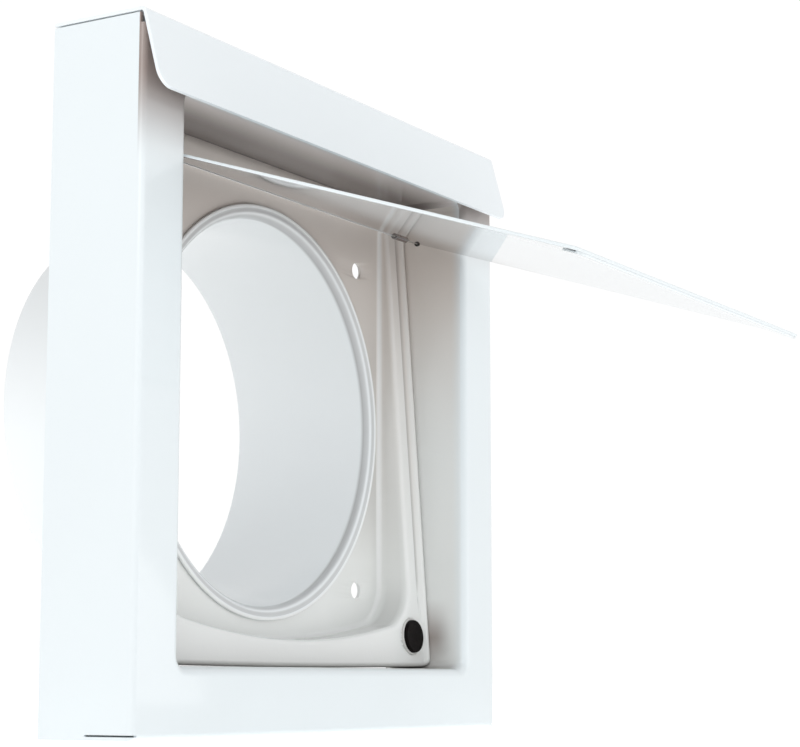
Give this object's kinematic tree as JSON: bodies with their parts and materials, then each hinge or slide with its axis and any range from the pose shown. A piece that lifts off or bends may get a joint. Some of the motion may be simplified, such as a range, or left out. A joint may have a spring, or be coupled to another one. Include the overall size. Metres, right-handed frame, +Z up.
{
  "type": "wall vent hood",
  "caption": "Square sheet-metal wall vent hood with a round duct collar, a drip lip and a top-hinged gravity damper held shut by corner magnets.",
  "frame": {"origin": "on the duct collar's axis, in the plane of the wall that the vent is screwed to", "axes": "+Y into the wall along the duct's axis, +Z up, +X to the right of someone facing the vent"},
  "size_m": [0.162, 0.1632, 0.162],
  "materials": {
    "white_enamel": "gloss white powder coat",
    "zinc_steel": "zinc plated",
    "black_nylon": "black nylon",
    "white_nylon": "satin white nylon",
    "magnet_black": "black epoxy coat"
  },
  "bodies": {
    "housing": {"front_frame": "white_enamel", "hood_cap": "white_enamel", "back_pan": "white_enamel", "duct_collar": "white_enamel", "hinge_bushing_left": "black_nylon", "hinge_bushing_right": "black_nylon", "magnet_cup_left": "white_nylon", "magnet_cup_right": "white_nylon", "magnet_left": "magnet_black", "magnet_right": "magnet_black"},
    "flap": {"damper_flap": "white_enamel", "hinge_pin_left": "zinc_steel", "hinge_pin_right": "zinc_steel", "pin_clip_left": "zinc_steel", "pin_clip_right": "zinc_steel"}
  },
  "joints": [
    {"name": "flap_hinge", "type": "hinge", "parent": "housing", "child": "flap", "pos_m": [0, -0.011, 0.0549], "axis": [-1, 0, 0], "range_deg": [-69.1, 35.5]}
  ]
}
